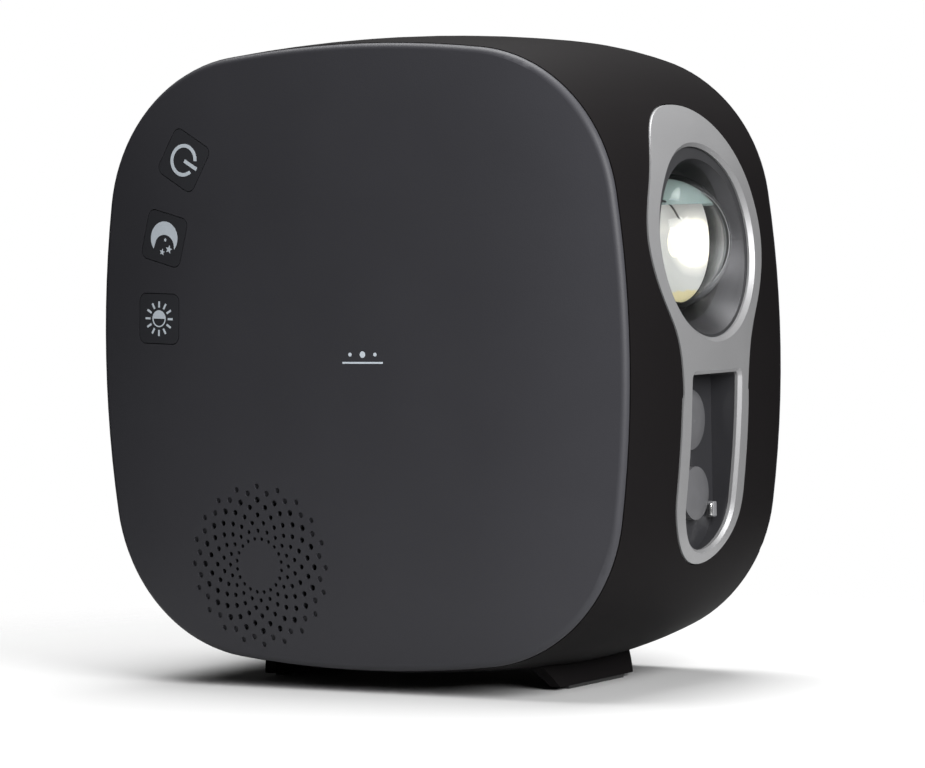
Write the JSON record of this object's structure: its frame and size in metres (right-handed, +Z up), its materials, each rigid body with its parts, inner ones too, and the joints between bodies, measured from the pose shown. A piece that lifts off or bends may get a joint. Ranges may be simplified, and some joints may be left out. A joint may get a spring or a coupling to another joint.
{
  "type": "home projector",
  "caption": "Table-top night-sky projector: rounded-square body with a bulged band, silver keyhole bezel, glass ball lens, side push buttons and a round speaker grille, on two splayed feet.",
  "frame": {"origin": "on the floor, under the centre of the bounding box", "axes": "+Z up, the ball lens looks along -Y, the control panel faces -X"},
  "size_m": [0.0814, 0.1504, 0.1525],
  "materials": {
    "band_plastic": "fine matt moulded plastic, near black",
    "panel_plastic": "soft-touch matt graphite",
    "bezel_silver": "satin silver paint",
    "shroud_metal": "dark metallic paint",
    "ball_glass": "clear polished",
    "lens_glass": "smoked, coated",
    "white_plastic": "white reflector",
    "pocket_plastic": "dark gloss",
    "inner_plastic": "plain moulded",
    "button_plastic": "matt",
    "brass": "turned",
    "steel": "zinc plated",
    "aluminium": "extruded",
    "gear_plastic": "natural acetal",
    "film": "printed film",
    "board_green": "solder resist",
    "chip_black": "moulded resin",
    "lamp_white": "lamp resin",
    "mesh_cloth": "woven dust cloth",
    "paper_cone": "pressed paper",
    "foam": "foam",
    "rubber": "soft"
  },
  "bodies": {
    "housing": {"housing_band": "band_plastic", "control_panel": "panel_plastic", "far_cover": "panel_plastic", "front_bezel": "bezel_silver", "lens_shroud": "shroud_metal", "ball_lens": "ball_glass", "lens_reflector": "white_plastic", "lens_retainer": "inner_plastic", "light_chamber": "white_plastic", "window_liner": "pocket_plastic", "moon_lens": "lens_glass", "moon_barrel": "inner_plastic", "moon_lamp": "lamp_white", "star_lens": "lens_glass", "star_grating": "film", "laser_module": "brass", "optics_plate": "inner_plastic", "wheel_axle": "steel", "nebula_motor": "steel", "led_board": "aluminium", "led_emitters": "lamp_white", "heat_sink": "aluminium", "main_board": "board_green", "main_board_chips": "chip_black", "button_board": "board_green", "tact_switches": "chip_black", "dust_mesh": "mesh_cloth", "speaker_gasket": "foam", "speaker_frame": "steel", "speaker_cone": "paper_cone", "speaker_magnet": "steel", "power_inlet": "steel", "inlet_board": "board_green", "cover_screws": "steel", "optics_screws": "steel", "board_screws": "steel", "front_foot": "band_plastic", "rear_foot": "band_plastic", "foot_pads": "rubber"},
    "nebula_wheel": {"wheel_gear": "gear_plastic", "nebula_film": "film"},
    "motor_rotor": {"motor_pinion": "gear_plastic", "motor_shaft": "steel"},
    "power_button": {"power_button": "button_plastic"},
    "night_button": {"night_button": "button_plastic"},
    "brightness_button": {"brightness_button": "button_plastic"}
  },
  "joints": [
    {"name": "nebula_wheel_spin", "type": "hinge", "parent": "housing", "child": "nebula_wheel", "pos_m": [0, -0.03483, 0.091], "axis": [0, 1, 0], "continuous": true},
    {"name": "motor_spin", "type": "hinge", "parent": "housing", "child": "motor_rotor", "pos_m": [-0.01782, -0.03483, 0.07318], "axis": [0, 1, 0], "continuous": true},
    {"name": "power_button_press", "type": "slide", "parent": "housing", "child": "power_button", "axis": [1, 0, 0], "range_m": [0, 0.0006], "stiffness_N_per_m": 800},
    {"name": "night_button_press", "type": "slide", "parent": "housing", "child": "night_button", "axis": [1, 0, 0], "range_m": [0, 0.0006], "stiffness_N_per_m": 800},
    {"name": "brightness_button_press", "type": "slide", "parent": "housing", "child": "brightness_button", "axis": [1, 0, 0], "range_m": [0, 0.0006], "stiffness_N_per_m": 800}
  ],
  "couplings": [
    {"joint": "motor_spin", "follows": "nebula_wheel_spin", "ratio": -6}
  ]
}
